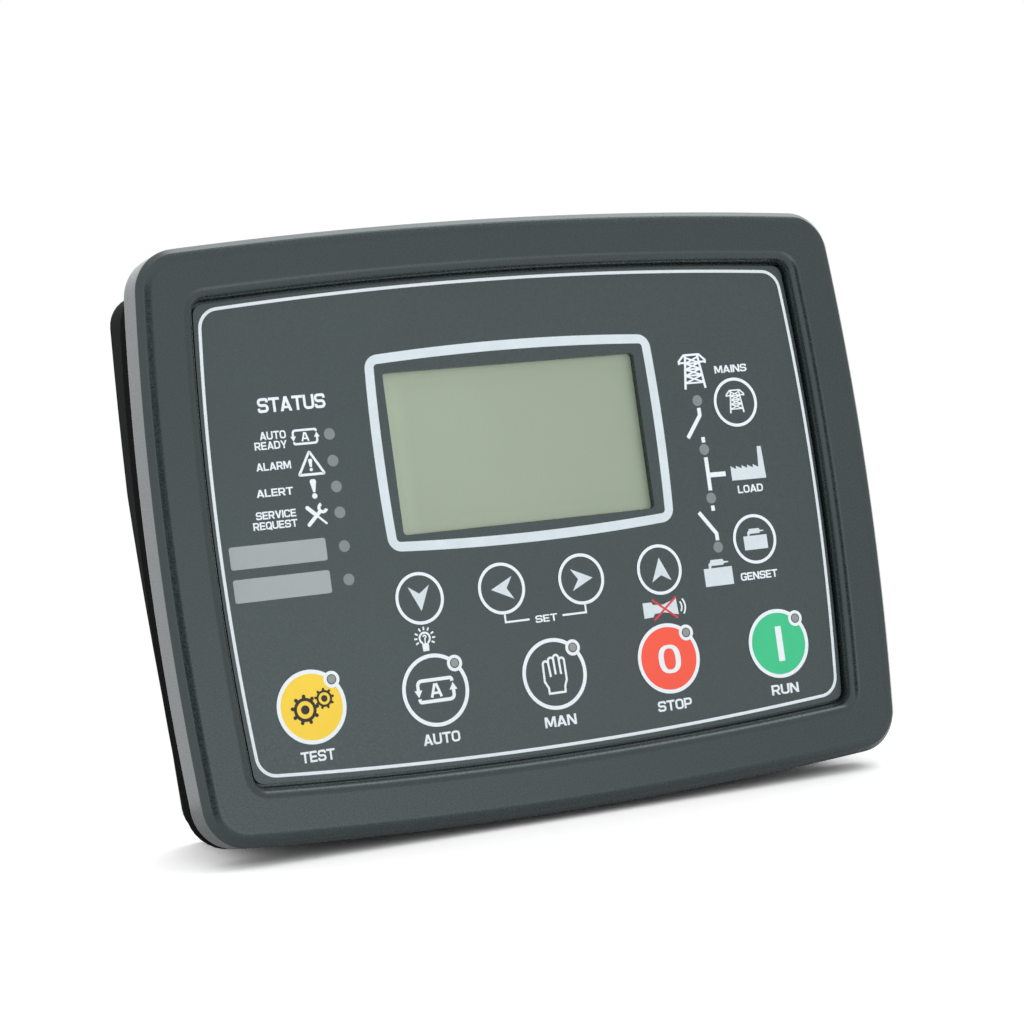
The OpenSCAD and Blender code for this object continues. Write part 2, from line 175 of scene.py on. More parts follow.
# ---------------------------------------------------------------- mesh helpers
class Mesh:
    """Collects closed solids in millimetres, then makes one object of them."""

    def __init__(self):
        self.v = []
        self.f = []

    def add(self, verts, faces):
        o = len(self.v)
        self.v += verts
        self.f += [tuple(i + o for i in f) for f in faces]

    def prism(self, outer, y0, y1, holes=()):
        """A flat plate between two depths, with holes."""
        loops = [outer] + list(holes)
        flat = [p for loop in loops for p in loop]
        tris = tessellate_polygon(
            [[Vector((x, z, 0.0)) for x, z in loop] for loop in loops]
        )
        n = len(flat)
        verts = [(x, y0, z) for x, z in flat] + [(x, y1, z) for x, z in flat]
        faces = [tuple(t) for t in tris]
        faces += [tuple(i + n for i in reversed(t)) for t in tris]
        s = 0
        for loop in loops:
            m = len(loop)
            for i in range(m):
                a, b = s + i, s + (i + 1) % m
                faces.append((a, b, b + n, a + n))
            s += m
        self.add(verts, faces)

    def loft(self, rings, closed_profile=False, cap=True):
        """Rings of equal length, each a list of (x, z) and a depth y."""
        n = len(rings[0][0])
        verts = [(x, y, z) for pts, y in rings for x, z in pts]
        faces = []
        k = len(rings)
        for r in range(k if closed_profile else k - 1):
            s = (r + 1) % k
            for i in range(n):
                j = (i + 1) % n
                faces.append((r * n + i, r * n + j, s * n + j, s * n + i))
        if cap and not closed_profile:
            faces.append(tuple(range(n - 1, -1, -1)))
            faces.append(tuple((k - 1) * n + i for i in range(n)))
        self.add(verts, faces)

    def dome(self, cx, cz, r, y0, rise, n=40, rings=5):
        """A low lens: a round foot and a crowned top."""
        rr = [(circle(cx, cz, r, n), y0)]
        for i in range(rings):
            t = math.radians(90 * i / rings)
            rr.append((circle(cx, cz, r * math.cos(t), n), y0 - rise * math.sin(t) - 0.02))
        self.loft(rr)

    def band(self, left, right, y0, y1, closed):
        """A flat ribbon between two edge lines."""
        n = len(left)
        verts = [(x, y0, z) for x, z in left] + [(x, y0, z) for x, z in right]
        verts += [(x, y1, z) for x, z in left] + [(x, y1, z) for x, z in right]
        faces = []
        for i in range(n if closed else n - 1):
            j = (i + 1) % n
            faces.append((i, j, n + j, n + i))
            faces.append((2 * n + i, 3 * n + i, 3 * n + j, 2 * n + j))
            faces.append((i, 2 * n + i, 2 * n + j, j))
            faces.append((n + i, n + j, 3 * n + j, 3 * n + i))
        if not closed:
            faces.append((0, n, 3 * n, 2 * n))
            e = n - 1
            faces.append((e, 2 * n + e, 3 * n + e, n + e))
        self.add(verts, faces)

    def build(self, name, mat, body="controller", smooth=None, slot=None):
        me = bpy.data.meshes.new(name)
        me.from_pydata(
            [(x * 0.001, y * 0.001, z * 0.001) for x, y, z in self.v], [], self.f
        )
        bm = bmesh.new()
        bm.from_mesh(me)
        bmesh.ops.recalc_face_normals(bm, faces=bm.faces)
        bm.to_mesh(me)
        bm.free()
        if smooth:
            me.shade_smooth()
            me.set_sharp_from_angle(angle=math.radians(smooth))
        me.materials.append(mat)
        o = bpy.data.objects.new(name, me)
        bpy.context.scene.collection.objects.link(o)
        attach(o, body)
        return o


# ---------------------------------------------------------------- strokes and letters
def fillet(path, closed=False):
    """A path of (x, y) or (x, y, r) with each corner rounded to its r."""
    n = len(path)
    out = []
    for i, p in enumerate(path):
        r = p[2] if len(p) > 2 else 0
        if r <= 0 or (not closed and i in (0, n - 1)):
            out.append((p[0], p[1]))
            continue
        a, b = path[(i - 1) % n], path[(i + 1) % n]
        v1 = Vector((a[0] - p[0], a[1] - p[1]))
        v2 = Vector((b[0] - p[0], b[1] - p[1]))
        l1, l2 = v1.length, v2.length
        v1.normalize()
        v2.normalize()
        ang = v1.angle(v2)
        t = min(r / math.tan(ang / 2), l1 * 0.499, l2 * 0.499)
        r = t * math.tan(ang / 2)
        mid = (v1 + v2).normalized()
        c = Vector((p[0], p[1])) + mid * (r / math.sin(ang / 2))
        p1 = Vector((p[0], p[1])) + v1 * t
        p2 = Vector((p[0], p[1])) + v2 * t
        a1 = math.atan2(p1.y - c.y, p1.x - c.x)
        a2 = math.atan2(p2.y - c.y, p2.x - c.x)
        da = (a2 - a1 + math.pi) % (2 * math.pi) - math.pi
        for k in range(7):
            t_ = a1 + da * k / 6
            out.append((c.x + r * math.cos(t_), c.y + r * math.sin(t_)))
    return out


def edges_of(path, width, closed):
    """The two edge lines of a stroke, with mitred corners."""
    n = len(path)
    left, right = [], []
    h = width / 2
    for i in range(n):
        p = Vector(path[i])
        if closed or 0 < i < n - 1:
            a, b = Vector(path[(i - 1) % n]), Vector(path[(i + 1) % n])
            d1, d2 = (p - a).normalized(), (b - p).normalized()
        elif i == 0:
            d1 = d2 = (Vector(path[1]) - p).normalized()
        else:
            d1 = d2 = (p - Vector(path[i - 1])).normalized()
        n1 = Vector((-d1.y, d1.x))
        n2 = Vector((-d2.y, d2.x))
        m = (n1 + n2).normalized()
        k = min(h / max(0.25, m.dot(n1)), 3 * h)
        left.append((p.x + m.x * k, p.y + m.y * k))
        right.append((p.x - m.x * k, p.y - m.y * k))
    return left, right


T = 19.0
H2 = T / 2
GLYPHS = {
    "S": (80, [("s", [(70.5, 69), (70.5, 90.5, 19), (9.5, 90.5, 19), (9.5, 50, 19), (70.5, 50, 19), (70.5, 9.5, 19), (9.5, 9.5, 19), (9.5, 31)], 0)]),
    "T": (80, [("p", [(0, 81), (80, 81), (80, 100), (0, 100)]), ("p", [(30.5, 0), (49.5, 0), (49.5, 81), (30.5, 81)])]),
    "A": (86, [("p", [(0, 0), (32, 100), (54, 100), (86, 0), (64.5, 0), (43, 66), (21.5, 0)]), ("p", [(27.6, 18.5), (58.4, 18.5), (53.2, 34.5), (32.8, 34.5)])]),
    "U": (80, [("s", [(9.5, 100), (9.5, 9.5, 21), (70.5, 9.5, 21), (70.5, 100)], 0)]),
    "R": (80, [("s", [(9.5, 0), (9.5, 90.5), (68, 90.5, 19), (68, 43, 19), (19, 43)], 0), ("p", [(38, 33.5), (60, 33.5), (80, 0), (57, 0)])]),
    "E": (72, [("p", [(0, 0), (19, 0), (19, 100), (0, 100)]), ("p", [(19, 81), (70, 81), (70, 100), (19, 100)]), ("p", [(19, 41), (66, 41), (66, 59.5), (19, 59.5)]), ("p", [(19, 0), (70, 0), (70, 19), (19, 19)])]),
    "D": (80, [("s", [(9.5, 9.5), (9.5, 90.5), (70.5, 90.5, 26), (70.5, 9.5, 26)], 1)]),
    "Y": (84, [("p", [(0, 100), (22, 100), (42, 57), (62, 100), (84, 100), (51.5, 37), (51.5, 0), (32.5, 0), (32.5, 37)])]),
    "L": (68, [("p", [(0, 0), (66, 0), (66, 19), (19, 19), (19, 100), (0, 100)])]),
    "M": (96, [("p", [(0, 0), (0, 100), (25, 100), (48, 38), (71, 100), (96, 100), (96, 0), (78, 0), (78, 66), (56, 8), (40, 8), (18, 66), (18, 0)])]),
    "N": (82, [("p", [(0, 0), (0, 100), (22, 100), (63, 33), (63, 100), (82, 100), (82, 0), (60, 0), (19, 67), (19, 0)])]),
    "I": (20, [("p", [(0, 0), (20, 0), (20, 100), (0, 100)])]),
    "G": (80, [("s", [(70.5, 71), (70.5, 90.5, 20), (9.5, 90.5, 20), (9.5, 9.5, 20), (70.5, 9.5, 20), (70.5, 46), (44, 46)], 0)]),
    "V": (84, [("p", [(0, 100), (22, 100), (42, 33), (62, 100), (84, 100), (53, 0), (31, 0)])]),
    "C": (80, [("s", [(70.5, 68), (70.5, 90.5, 20), (9.5, 90.5, 20), (9.5, 9.5, 20), (70.5, 9.5, 20), (70.5, 32)], 0)]),
    "Q": (80, [("s", [(9.5, 9.5, 22), (9.5, 90.5, 22), (70.5, 90.5, 22), (70.5, 9.5, 22)], 1), ("p", [(40, 30), (56, 38), (86, -4), (68, -12)])]),
    "O": (80, [("s", [(9.5, 9.5, 22), (9.5, 90.5, 22), (70.5, 90.5, 22), (70.5, 9.5, 22)], 1)]),
    "P": (80, [("s", [(9.5, 0), (9.5, 90.5), (68, 90.5, 19), (68, 40, 19), (19, 40)], 0)]),
}


class Print(Mesh):
    """Flat print on the film, laid out in the print's own millimetres (u to the right, v up)."""

    def __init__(self, thick=0.03):
        super().__init__()
        self.thick = thick
        self.turn = 0

    def _y(self, base):
        """Back and front of a shape; fronts differ by a micron or so, so that none lie in one plane."""
        self.turn = (self.turn + 1) % 11
        return Y_FILM - base, Y_FILM - base - self.thick - 0.0012 * self.turn

    def _p(self, pts):
        return [(p[0] + PRINT_DX, p[1] + PRINT_DZ) for p in pts]

    def poly(self, pts, base=0.0, holes=()):
        y0, y1 = self._y(base)
        self.prism(self._p(pts), y0, y1, [self._p(h) for h in holes])

    def ring(self, cu, cv, r_out, r_in, base=0.0, n=96):
        y0, y1 = self._y(base)
        self.band(
            self._p(circle(cu, cv, r_out, n)), self._p(circle(cu, cv, r_in, n)), y0, y1, True
        )

    def disc(self, cu, cv, r, base=0.0, n=72):
        self.poly(circle(cu, cv, r, n), base)

    def loop(self, outer, inner, base=0.0):
        y0, y1 = self._y(base)
        self.band(self._p(outer), self._p(inner), y0, y1, True)

    def stroke(self, path, width, base=0.0, closed=False, round_ends=False):
        path = fillet(path, closed)
        l, r = edges_of(path, width, closed)
        y0, y1 = self._y(base)
        self.band(self._p(l), self._p(r), y0, y1, closed)
        if round_ends and not closed:
            for end, prev in ((path[0], path[1]), (path[-1], path[-2])):
                a = math.degrees(math.atan2(end[1] - prev[1], end[0] - prev[0]))
                self.poly(arc(end[0], end[1], width / 2, a - 90, a + 90, 8), base)

    def word(self, text, u0, u1, v0, v1, base=0.0, gap=6.0):
        """A word set to fill a box exactly."""
        total = sum(GLYPHS[c][0] for c in text) + gap * (len(text) - 1)
        sx, sy = (u1 - u0) / total, (v1 - v0) / 100.0
        y0, y1 = self._y(base)
        x = 0.0
        for c in text:
            w, shapes = GLYPHS[c]
            for s in shapes:
                if s[0] == "p":
                    self.poly([(u0 + (x + a) * sx, v0 + b * sy) for a, b in s[1]], base)
                else:
                    path = fillet(s[1], bool(s[2]))
                    l, r = edges_of(path, T, bool(s[2]))
                    l = [(u0 + (x + a) * sx, v0 + b * sy) for a, b in l]
                    r = [(u0 + (x + a) * sx, v0 + b * sy) for a, b in r]
                    self.band(self._p(l), self._p(r), y0, y1, bool(s[2]))
            x += w + gap


# ---------------------------------------------------------------- materials
def lin(r, g, b):
    def f(c):
        c = c / 255.0
        return c / 12.92 if c <= 0.04045 else ((c + 0.055) / 1.055) ** 2.4

    return (f(r), f(g), f(b))


def material(
    name,
    rgb,
    rough=0.5,
    var=0.08,
    grain=0.3,
    bump=0.004,
    rough_var=0.06,
    spec=0.5,
    metallic=0.0,
    mottle=14.0,
    edge=0.0,
    strength=0.5,
    stretch=None,
    sheen=(1.0, 1.0, 1.0),
    drift=1.0,
):
    """A moulded or printed finish: fine grain in colour, gloss and relief, and a slow drift in tone."""
    m = bpy.data.materials.new(name)
    m.use_nodes = True
    nt = m.node_tree
    b = nt.nodes["Principled BSDF"]
    b.inputs["Metallic"].default_value = metallic
    b.inputs["Specular IOR Level"].default_value = spec
    b.inputs["Specular Tint"].default_value = sheen + (1.0,)
    tc = nt.nodes.new("ShaderNodeTexCoord")
    src = tc.outputs["Object"]
    if stretch:
        mp = nt.nodes.new("ShaderNodeMapping")
        mp.inputs["Scale"].default_value = stretch
        nt.links.new(src, mp.inputs["Vector"])
        src = mp.outputs["Vector"]
    fine = nt.nodes.new("ShaderNodeTexNoise")
    fine.inputs["Scale"].default_value = 1000.0 / grain
    fine.inputs["Detail"].default_value = 3.0
    fine.inputs["Roughness"].default_value = 0.6
    slow = nt.nodes.new("ShaderNodeTexNoise")
    slow.inputs["Scale"].default_value = 1000.0 / mottle
    slow.inputs["Detail"].default_value = 2.0
    nt.links.new(src, fine.inputs["Vector"])
    nt.links.new(tc.outputs["Object"], slow.inputs["Vector"])
    calm = nt.nodes.new("ShaderNodeMath")
    calm.operation = "MULTIPLY_ADD"
    calm.inputs[1].default_value = drift
    calm.inputs[2].default_value = 0.5 * (1.0 - drift)
    nt.links.new(slow.outputs["Fac"], calm.inputs[0])
    add = nt.nodes.new("ShaderNodeMath")
    add.operation = "ADD"
    nt.links.new(fine.outputs["Fac"], add.inputs[0])
    nt.links.new(calm.outputs[0], add.inputs[1])
    ramp = nt.nodes.new("ShaderNodeValToRGB")
    e = ramp.color_ramp.elements
    e[0].position = 0.70
    e[1].position = 1.0
    e[0].color = tuple(c * (1 - var) for c in rgb) + (1,)
    e[1].color = tuple(min(1.0, c * (1 + var)) for c in rgb) + (1,)
    half = nt.nodes.new("ShaderNodeMapRange")
    half.inputs["From Min"].default_value = 0.0
    half.inputs["From Max"].default_value = 2.0
    half.inputs["To Min"].default_value = 0.35
    half.inputs["To Max"].default_value = 1.35
    nt.links.new(add.outputs[0], half.inputs["Value"])
    nt.links.new(half.outputs["Result"], ramp.inputs["Fac"])
    nt.links.new(ramp.outputs["Color"], b.inputs["Base Color"])
    rr = nt.nodes.new("ShaderNodeMapRange")
    rr.inputs["From Min"].default_value = 0.3
    rr.inputs["From Max"].default_value = 0.7
    rr.inputs["To Min"].default_value = max(0.02, rough - rough_var)
    rr.inputs["To Max"].default_value = min(1.0, rough + rough_var)
    nt.links.new(fine.outputs["Fac"], rr.inputs["Value"])
    nt.links.new(rr.outputs["Result"], b.inputs["Roughness"])
    bp = nt.nodes.new("ShaderNodeBump")
    bp.inputs["Strength"].default_value = strength
    bp.inputs["Distance"].default_value = bump * 0.001
    nt.links.new(fine.outputs["Fac"], bp.inputs["Height"])
    nt.links.new(bp.outputs["Normal"], b.inputs["Normal"])
    if edge > 0:
        bv = nt.nodes.new("ShaderNodeBevel")
        bv.samples = 4
        bv.inputs["Radius"].default_value = edge * 0.001
        nt.links.new(bv.outputs["Normal"], bp.inputs["Normal"])
    return m


MAT = {
    "bezel": material("bezel_plastic", (0.0120, 0.0174, 0.0177), 0.26, 0.26, 0.50, 0.018, 0.07, 0.81, mottle=30, sheen=(0.83, 0.98, 0.99), drift=0.4),
    "film": material("keypad_film", (0.0175, 0.0268, 0.0290), 0.30, 0.26, 0.62, 0.016, 0.07, 0.91, mottle=22, edge=0.06, sheen=(0.84, 0.985, 1.0), drift=0.3),
    "white": material("print_white", (0.86, 0.93, 0.985), 0.48, 0.02, 0.3, 0.002, 0.05, 0.4, mottle=10),
    "frame": material("print_pale", (0.69, 0.78, 0.83), 0.48, 0.05, 0.5, 0.002, 0.05, 0.4, mottle=6),
    "yellow": material("print_yellow", (1.0, 0.685, 0.062), 0.48, 0.03, 0.3, 0.002, 0.05, 0.4, mottle=10),
    "red": material("print_red", (1.0, 0.109, 0.063), 0.48, 0.03, 0.3, 0.002, 0.05, 0.4, mottle=10),
    "cross": material("print_cross", (0.74, 0.052, 0.074), 0.48, 0.03, 0.3, 0.002, 0.05, 0.4, mottle=10),
    "green": material("print_green", (0.050, 0.58, 0.272), 0.48, 0.03, 0.3, 0.002, 0.05, 0.4, mottle=10),
    "ink": material("print_dark", (0.030, 0.026, 0.022), 0.5, 0.08, 0.3, 0.002, 0.05, 0.4, mottle=10),
    "lamp": material("lamp_window", (0.222, 0.250, 0.262), 0.42, 0.04, 0.35, 0.002, 0.05, 0.5, mottle=3),
    "key_lamp": material("key_lamp_window", (0.285, 0.315, 0.31), 0.42, 0.04, 0.35, 0.002, 0.05, 0.5, mottle=3),
    "tab": material("legend_window", (0.365, 0.405, 0.42), 0.34, 0.03, 0.4, 0.002, 0.04, 0.5, mottle=8),
    "rubber": material("seal_rubber", (0.0030, 0.0031, 0.0032), 0.90, 0.15, 0.4, 0.012, 0.08, 0.03, mottle=9, edge=0.35),
    "housing": material("housing_plastic", (0.0068, 0.0080, 0.0083), 0.70, 0.14, 0.32, 0.010, 0.08, 0.03, mottle=20, edge=0.45),
}


def slot_materials():
    """One finish for each of the record's slots, for the CAD pieces that stay as they are."""
    s = {
        "bezel_plastic": MAT["bezel"],
        "keypad_film": MAT["film"],
        "seal_rubber": MAT["rubber"],
        "housing_plastic": MAT["housing"],
        "card": material("card", (0.62, 0.62, 0.60), 0.85, 0.06, 0.5, 0.01, 0.05, 0.2),
        "display_metal": material("display_metal", (0.10, 0.105, 0.11), 0.42, 0.08, 0.25, 0.003, 0.08, 0.5, 0.9, edge=0.1),
        "display_cell": material("display_cell", (0.322, 0.388, 0.291), 0.36, 0.035, 0.28, 0.002, 0.05, 0.5, mottle=40),
        "light_guide": material("light_guide", (0.80, 0.82, 0.82), 0.35, 0.03, 0.5, 0.003, 0.05, 0.5),
        "circuit_board": material("circuit_board", (0.010, 0.075, 0.030), 0.42, 0.22, 0.9, 0.010, 0.10, 0.5, mottle=5, edge=0.1),
        "black_component": material("black_component", (0.016, 0.016, 0.017), 0.55, 0.12, 0.2, 0.006, 0.08, 0.4, edge=0.12),
        "key_plunger": material("key_plunger", (0.55, 0.54, 0.50), 0.45, 0.05, 0.3, 0.004, 0.06, 0.45, edge=0.12),
        "lamp": material("lamp_resin", (0.60, 0.62, 0.62), 0.22, 0.04, 0.4, 0.002, 0.05, 0.5),
        "cell_steel": material("cell_steel", (0.55, 0.55, 0.54), 0.30, 0.05, 0.3, 0.004, 0.08, 0.5, 1.0, edge=0.15, stretch=(1, 1, 9)),
        "contact_metal": material("contact_metal", (0.62, 0.60, 0.54), 0.30, 0.06, 0.25, 0.004, 0.08, 0.5, 1.0, edge=0.06),
        "terminal_plastic": material("terminal_plastic", (0.028, 0.165, 0.075), 0.48, 0.10, 0.25, 0.006, 0.08, 0.45, mottle=9, edge=0.22),
        "screw_steel": material("screw_steel", (0.50, 0.50, 0.51), 0.32, 0.08, 0.22, 0.005, 0.10, 0.5, 1.0, edge=0.12),
        "relay_case": material("relay_case", (0.020, 0.021, 0.024), 0.40, 0.10, 0.3, 0.005, 0.06, 0.5, edge=0.3),
        "coil_case": material("coil_case", (0.030, 0.055, 0.14), 0.5, 0.08, 0.3, 0.006, 0.06, 0.45, edge=0.3),
        "capacitor_can": material("capacitor_can", (0.020, 0.024, 0.045), 0.35, 0.08, 0.4, 0.003, 0.06, 0.5, edge=0.4),
        "ferrite": material("ferrite", (0.028, 0.027, 0.026), 0.75, 0.14, 0.25, 0.012, 0.08, 0.3, edge=0.25),
    }
    return s


def paint_edge_light(m, terms):
    """Paint light into a finish's colour towards given edges: (axis, at the edge, where it ends, how much), in metres.
    """
    nt = m.node_tree
    b = nt.nodes["Principled BSDF"]
    colour = b.inputs["Base Color"].links[0].from_socket
    tc = nt.nodes.new("ShaderNodeTexCoord")
    xyz = nt.nodes.new("ShaderNodeSeparateXYZ")
    nt.links.new(tc.outputs["Object"], xyz.inputs["Vector"])
    total = None
    for axis, near, far, much in terms:
        r = nt.nodes.new("ShaderNodeMapRange")
        r.interpolation_type = "SMOOTHSTEP"
        r.inputs["From Min"].default_value = min(near, far)
        r.inputs["From Max"].default_value = max(near, far)
        r.inputs["To Min"].default_value = much if near < far else 0.0
        r.inputs["To Max"].default_value = 0.0 if near < far else much
        nt.links.new(xyz.outputs[axis], r.inputs["Value"])
        a = nt.nodes.new("ShaderNodeMath")
        a.operation = "ADD"
        a.inputs[1].default_value = 1.0
        nt.links.new(r.outputs["Result"], a.inputs[0])
        if total is not None:
            nt.links.new(total, a.inputs[1])
        total = a.outputs[0]
    # Scale the base colour up by the summed terms: this is painted light, not the cell's own tone.
    v = nt.nodes.new("ShaderNodeVectorMath")
    v.operation = "SCALE"
    nt.links.new(colour, v.inputs[0])
    nt.links.new(total, v.inputs["Scale"])
    nt.links.new(v.outputs["Vector"], b.inputs["Base Color"])


SLOTS = slot_materials()
# Painted light: the cell's colour is made a little brighter along its left, bottom and top edges and towards its left
# side, standing in for light falling on those edges.
paint_edge_light(
    SLOTS["display_cell"],
    (
        ("X", -0.0348, 0.034, 0.085),
        ("X", -0.0348, -0.0285, 0.20),
        ("X", -0.0348, -0.0330, 0.20),
        ("Z", -0.0015, 0.0022, 0.14),
        ("Z", -0.0015, -0.0003, 0.14),
        ("Z", 0.0375, 0.0340, 0.20),
        ("Z", 0.0375, 0.0365, 0.12),
    ),
)
for node, obj in NODES.items():
    slot = SLOT_OF.get(node)
    mat = SLOTS.get(slot) or MAT["housing"]
    obj.data.materials.clear()
    obj.data.materials.append(mat)


# ---------------------------------------------------------------- bezel
def bezel():
    m = Mesh()
    rings = [(housing_line(-0.4), Y_BACK)]
    rings += [(bezel_line(0.30), Y_BACK), (bezel_line(0.09), Y_BACK - 0.06), (bezel_line(0.0), Y_BACK - 0.28)]
    rings += [(bezel_line(0.0), Y_BACK - 0.6), (bezel_line(0.0), Y_FILM - 0.4), (bezel_line(0.0), Y_FILM - 1.05)]
    # The front edge: a steep bevel, a soft ridge and a shallow shoulder up to the flat face.
    edge = [
        (0, 1.22), (0.03, 1.36), (0.1, 1.49), (0.4, 1.88), (0.8, 2.40), (1.15, 2.855), (1.35, 3.09), (1.5, 3.2),
        (1.7, 3.275), (2.1, 3.375), (2.5, 3.465), (2.9, 3.535), (3.3, 3.583), (3.7, 3.6),
    ]
    for d, h in smooth_through(edge):
        rings.append((bezel_line(d), Y_FILM - min(h, 3.6)))
    rings.append((bezel_line(4.0), Y_RIM))
    rings.append((film_line(3.85), Y_RIM))
    # The lip rolls over into a steep wall that ends in a groove beside the film.
    for i in range(25):
        t = math.radians(62.0 * i / 24)
        k = math.radians(27.0)
        o = 3.68 - 3.6 * math.sin(min(t, k))
        h = 3.6 * math.cos(min(t, k))
        if t > k:
            o -= 2.0 * (math.sin(t) - math.sin(k))
            h -= 2.0 * (math.cos(k) - math.cos(t))
        rings.append((film_line(o), Y_FILM - h))
    for o, h in ((1.03, 2.0), (0.90, 1.6), (0.79, 1.1), (0.71, 0.6), (0.66, 0.2), (0.65, -1.5)):
        rings.append((film_line(o), Y_FILM - h))
    rings.append((film_line(-0.25), Y_FILM + 1.5))
    rings.append((film_line(-0.25), Y_SEAT))
    rings.append((film_line(-1.2), Y_SEAT))
    rings.append((film_line(-1.2), Y_FLOOR))
    rings.append((housing_line(-0.4), Y_FLOOR))
    m.loft(rings, closed_profile=True)
    # The floor of the recess behind the film, with its window and the holes for keys and lamps.
    holes = [round_rect(-0.35, 18.0, 69.9, 40.0, 1.0)]
    holes += [circle(x, z, 4.5, 32) for x, z, r in KEYS.values()]
    lamps = STATUS_LAMPS + MIMIC_LAMPS + KEY_LAMPS
    holes += [circle(x, z, 1.7, 20) for x, z in lamps]
    m.prism(film_line(-0.9), Y_SEAT + 0.02, Y_FLOOR - 0.02, holes)
    o = m.build("bezel_moulding", MAT["bezel"], smooth=32, slot="bezel_plastic")
    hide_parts("front_bezel")
    return o


bezel()


# ---------------------------------------------------------------- print
def uv(key):
    x, z, r = KEYS[key]
    return x - PRINT_DX, z - PRINT_DZ


def arrow_loop(p, cu, cv, w, h, s, base, head):
    """A flat loop of two bars with an arrow at one end of each, and a letter A inside it."""
    l, r, t, b = cu - w / 2, cu + w / 2, cv + h / 2, cv - h / 2
    p.stroke([(r - 0.1 * s, t - 1.0 * s), (r - 0.25 * s, t, 0.8 * s), (l, t, 1.6 * s), (l, cv + head * 0.35)], s, base)
    p.poly([(l - head, cv + head * 0.35), (l + head, cv + head * 0.35), (l, cv - head * 1.35)], base)
    p.stroke([(l + 0.1 * s, b + 1.0 * s), (l + 0.25 * s, b, 0.8 * s), (r, b, 1.6 * s), (r, cv - head * 0.35)], s, base)
    p.poly([(r - head, cv - head * 0.35), (r + head, cv - head * 0.35), (r, cv + head * 1.35)], base)
    y0, y1, x = cv - h * 0.33, cv + h * 0.32, h * 0.25
    k = 0.8 * s
    p.stroke([(cu - x, y0), (cu - k * 0.25, y1)], k, base)
    p.stroke([(cu + x, y0), (cu + k * 0.25, y1)], k, base)
    p.stroke([(cu - x * 0.6, y0 + h * 0.20), (cu + x * 0.6, y0 + h * 0.20)], k * 0.85, base)


def pylon(p, cu, vb, vt, base):
    """A lattice mast with one pair of arms."""
    h = vt - vb
    s = h * 0.062
    wt, wb = h * 0.19, h * 0.325

    def half(t):
        return wb + (wt - wb) * t

    p.stroke([(cu - half(0), vb), (cu - half(0.94), vb + h * 0.94)], s * 1.15, base)
    p.stroke([(cu + half(0), vb), (cu + half(0.94), vb + h * 0.94)], s * 1.15, base)
    p.stroke([(cu - wt * 1.35, vt - s / 2), (cu + wt * 1.35, vt - s / 2)], s, base)
    for k in (-1, 1):
        p.stroke([(cu + k * wt * 1.3, vt - s / 2), (cu + k * h * 0.425, vb + h * 0.80), (cu + k * h * 0.425, vb + h * 0.71)], s, base)
        p.stroke([(cu + k * wt * 1.05, vb + h * 0.755), (cu + k * h * 0.425, vb + h * 0.755)], s * 0.9, base)
    levels = [0.17, 0.38, 0.56, 0.73, 0.90]
    for a, b in zip(levels[:-1], levels[1:]):
        p.stroke([(cu - half(a), vb + h * a), (cu + half(b), vb + h * b)], s * 0.8, base)
        p.stroke([(cu + half(a), vb + h * a), (cu - half(b), vb + h * b)], s * 0.8, base)
    for a in levels[:-1]:
        p.stroke([(cu - half(a), vb + h * a), (cu + half(a), vb + h * a)], s * 0.8, base)


def gear(p, cu, cv, r, teeth, base, hub):
    p.ring(cu, cv, r * 0.82, r * 0.60, base, 48)
    for i in range(teeth):
        a = 2 * math.pi * i / teeth + math.pi / 2
        c, s = math.cos(a), math.sin(a)
        pts = [(r * 0.76, r * 0.13)] + arc(r * 0.92, 0, r * 0.13, 110, -110, 8) + [(r * 0.76, -r * 0.13)]
        p.poly([(cu + x * c - y * s, cv + x * s + y * c) for x, y in reversed(pts)], base)
    p.disc(cu, cv, hub, base, 32)


def engine_block(p, x0, x1, y0, y1, top, base):
    """A set on its base: a box with the engine lying on it."""
    w = x1 - x0
    p.poly([(x0, y0), (x0, y1), (x1, y1), (x1, y0)], base)
    g = (top - y1) * 0.28
    p.poly(
        [
            (x0 + w * 0.19, y1), (x0 + w * 0.19, y1 + (top - y1) * 0.52), (x0 + w * 0.26, y1 + (top - y1) * 0.74),
            (x0 + w * 0.275, top), (x0 + w * 0.71, top), (x0 + w * 0.735, y1 + (top - y1) * 0.72),
            (x0 + w * 0.90, y1 + (top - y1) * 0.66), (x0 + w * 0.90, y1 + (top - y1) * 0.52), (x0 + w * 0.74, y1 + (top - y1) * 0.47),
            (x0 + w * 0.71, y1 + g), (x0 + w * 0.29, y1 + g), (x0 + w * 0.265, y1),
        ],
        base,
    )


def border(a, b, rt, rs, rc, dz):
    return [(x - PRINT_DX, z + dz - PRINT_DZ) for x, z in bowed(a, b, rt, rs, rc, 18, 12, 22)]


